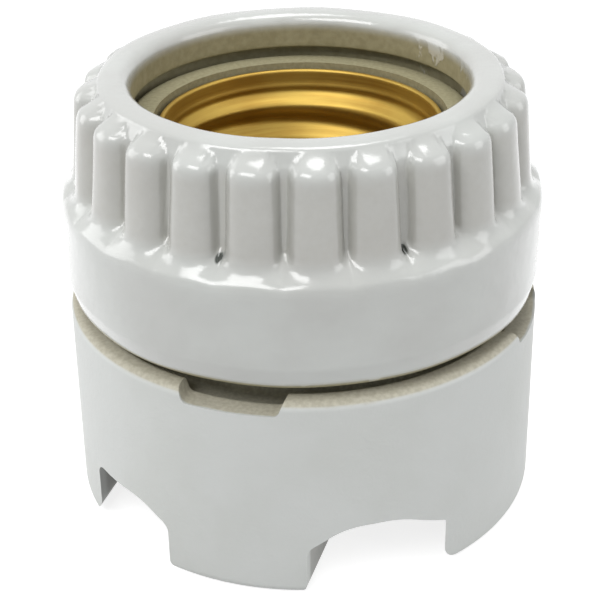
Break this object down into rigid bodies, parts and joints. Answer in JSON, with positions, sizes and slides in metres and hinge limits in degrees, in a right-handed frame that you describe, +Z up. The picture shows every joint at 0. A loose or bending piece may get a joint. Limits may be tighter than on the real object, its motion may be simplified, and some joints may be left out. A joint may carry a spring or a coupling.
{
  "type": "lamp holder",
  "caption": "Porcelain screw lamp holder: footed body with wire channels, brass screw shell, sprung centre contact and a ribbed ring that clamps it to a panel.",
  "frame": {"origin": "centre of the feet, on the surface that the body stands on", "axes": "+Z up the lamp axis out of the mouth; the wire channels run along Y, with the narrow feet at -Y and +Y and the wide feet at -X and +X"},
  "size_m": [0.0714, 0.0714, 0.0663],
  "materials": {
    "body_porcelain": "satin, unglazed cream rim",
    "ring_glaze": "gloss white glaze",
    "shell_brass": "bright rolled sheet",
    "contact_brass": "turned",
    "terminal_brass": "stamped strip",
    "screw_brass": "turned",
    "fastener_steel": "zinc plated",
    "spring_steel": "drawn wire"
  },
  "bodies": {
    "holder": {"porcelain_body": "body_porcelain", "screw_shell": "shell_brass", "contact_guide": "contact_brass", "contact_spring": "spring_steel", "contact_terminal": "terminal_brass", "shell_terminal": "terminal_brass", "front_shell_screw": "screw_brass", "rear_shell_screw": "screw_brass", "front_lock_washer": "fastener_steel", "rear_lock_washer": "fastener_steel", "front_nut": "fastener_steel", "rear_nut": "fastener_steel"},
    "ring": {"clamp_ring": "ring_glaze"},
    "plunger": {"contact_button": "contact_brass", "contact_clip": "fastener_steel"},
    "contact_screw": {"contact_binding_screw": "screw_brass"},
    "shell_wire_screw": {"shell_binding_screw": "screw_brass"}
  },
  "joints": [
    {"name": "ring_lift", "type": "slide", "parent": "holder", "child": "ring", "axis": [0, 0, 1], "range_m": [-0.0012, 0.034]},
    {"name": "contact_press", "type": "slide", "parent": "holder", "child": "plunger", "axis": [0, 0, 1], "range_m": [-0.0022, 0], "stiffness_N_per_m": 2500, "springref_m": 0.0015, "deforming": ["contact_spring"]},
    {"name": "contact_screw_turn", "type": "hinge", "parent": "holder", "child": "contact_screw", "pos_m": [0.0192, 0, 0.0148], "axis": [0, 0, 1], "continuous": true},
    {"name": "shell_screw_turn", "type": "hinge", "parent": "holder", "child": "shell_wire_screw", "pos_m": [-0.01765, 0.0145, 0.0148], "axis": [0, 0, 1], "continuous": true}
  ]
}
